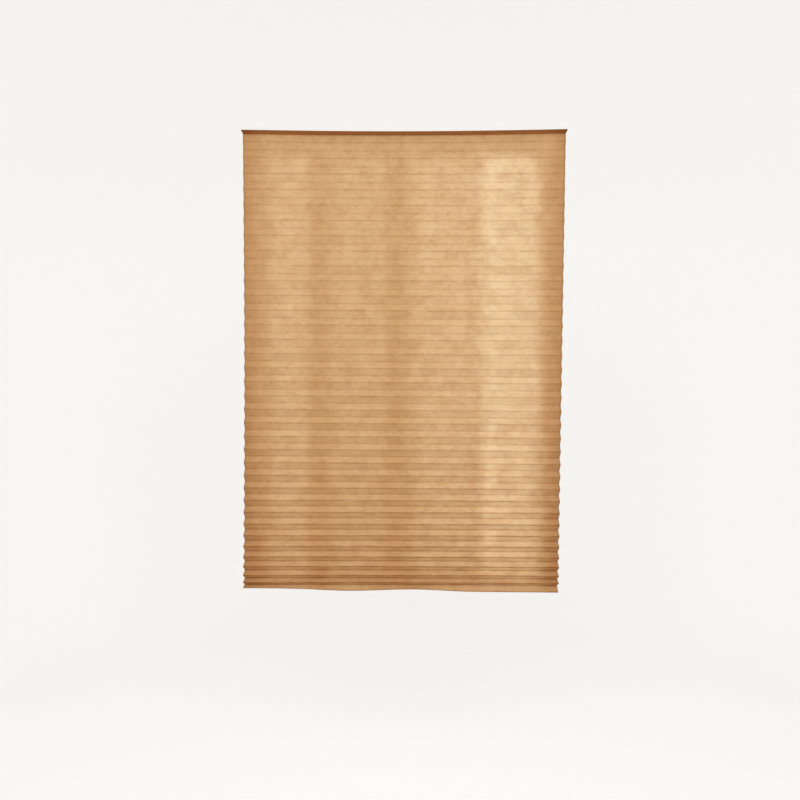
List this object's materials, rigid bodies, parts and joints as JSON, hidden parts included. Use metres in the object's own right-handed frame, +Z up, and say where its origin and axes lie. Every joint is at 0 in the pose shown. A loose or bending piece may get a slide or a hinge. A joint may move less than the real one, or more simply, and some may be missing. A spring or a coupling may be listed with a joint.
{
  "type": "pleated blind",
  "caption": "Pleated window blind: a zigzag-folded sheet of non-woven fabric, hung by a self-adhesive top panel from the underside of a window's head, with bare side and foot edges.",
  "frame": {"origin": "centre of the upper face of the mounting tape, where it sticks to the underside of the window's head", "axes": "+Z up, out of the tape into the head; X along the blind's width; -Y towards the room"},
  "size_m": [0.878, 0.0313, 1.2332],
  "materials": {
    "pleated_fabric": "matt calendered non-woven polyester, heat-set into pleats, tan, letting daylight through",
    "mounting_tape": "off-white double-sided foam tape with tacky faces"
  },
  "bodies": {
    "root": {"pleated_sheet": "pleated_fabric", "adhesive_strip": "mounting_tape"}
  },
  "joints": []
}
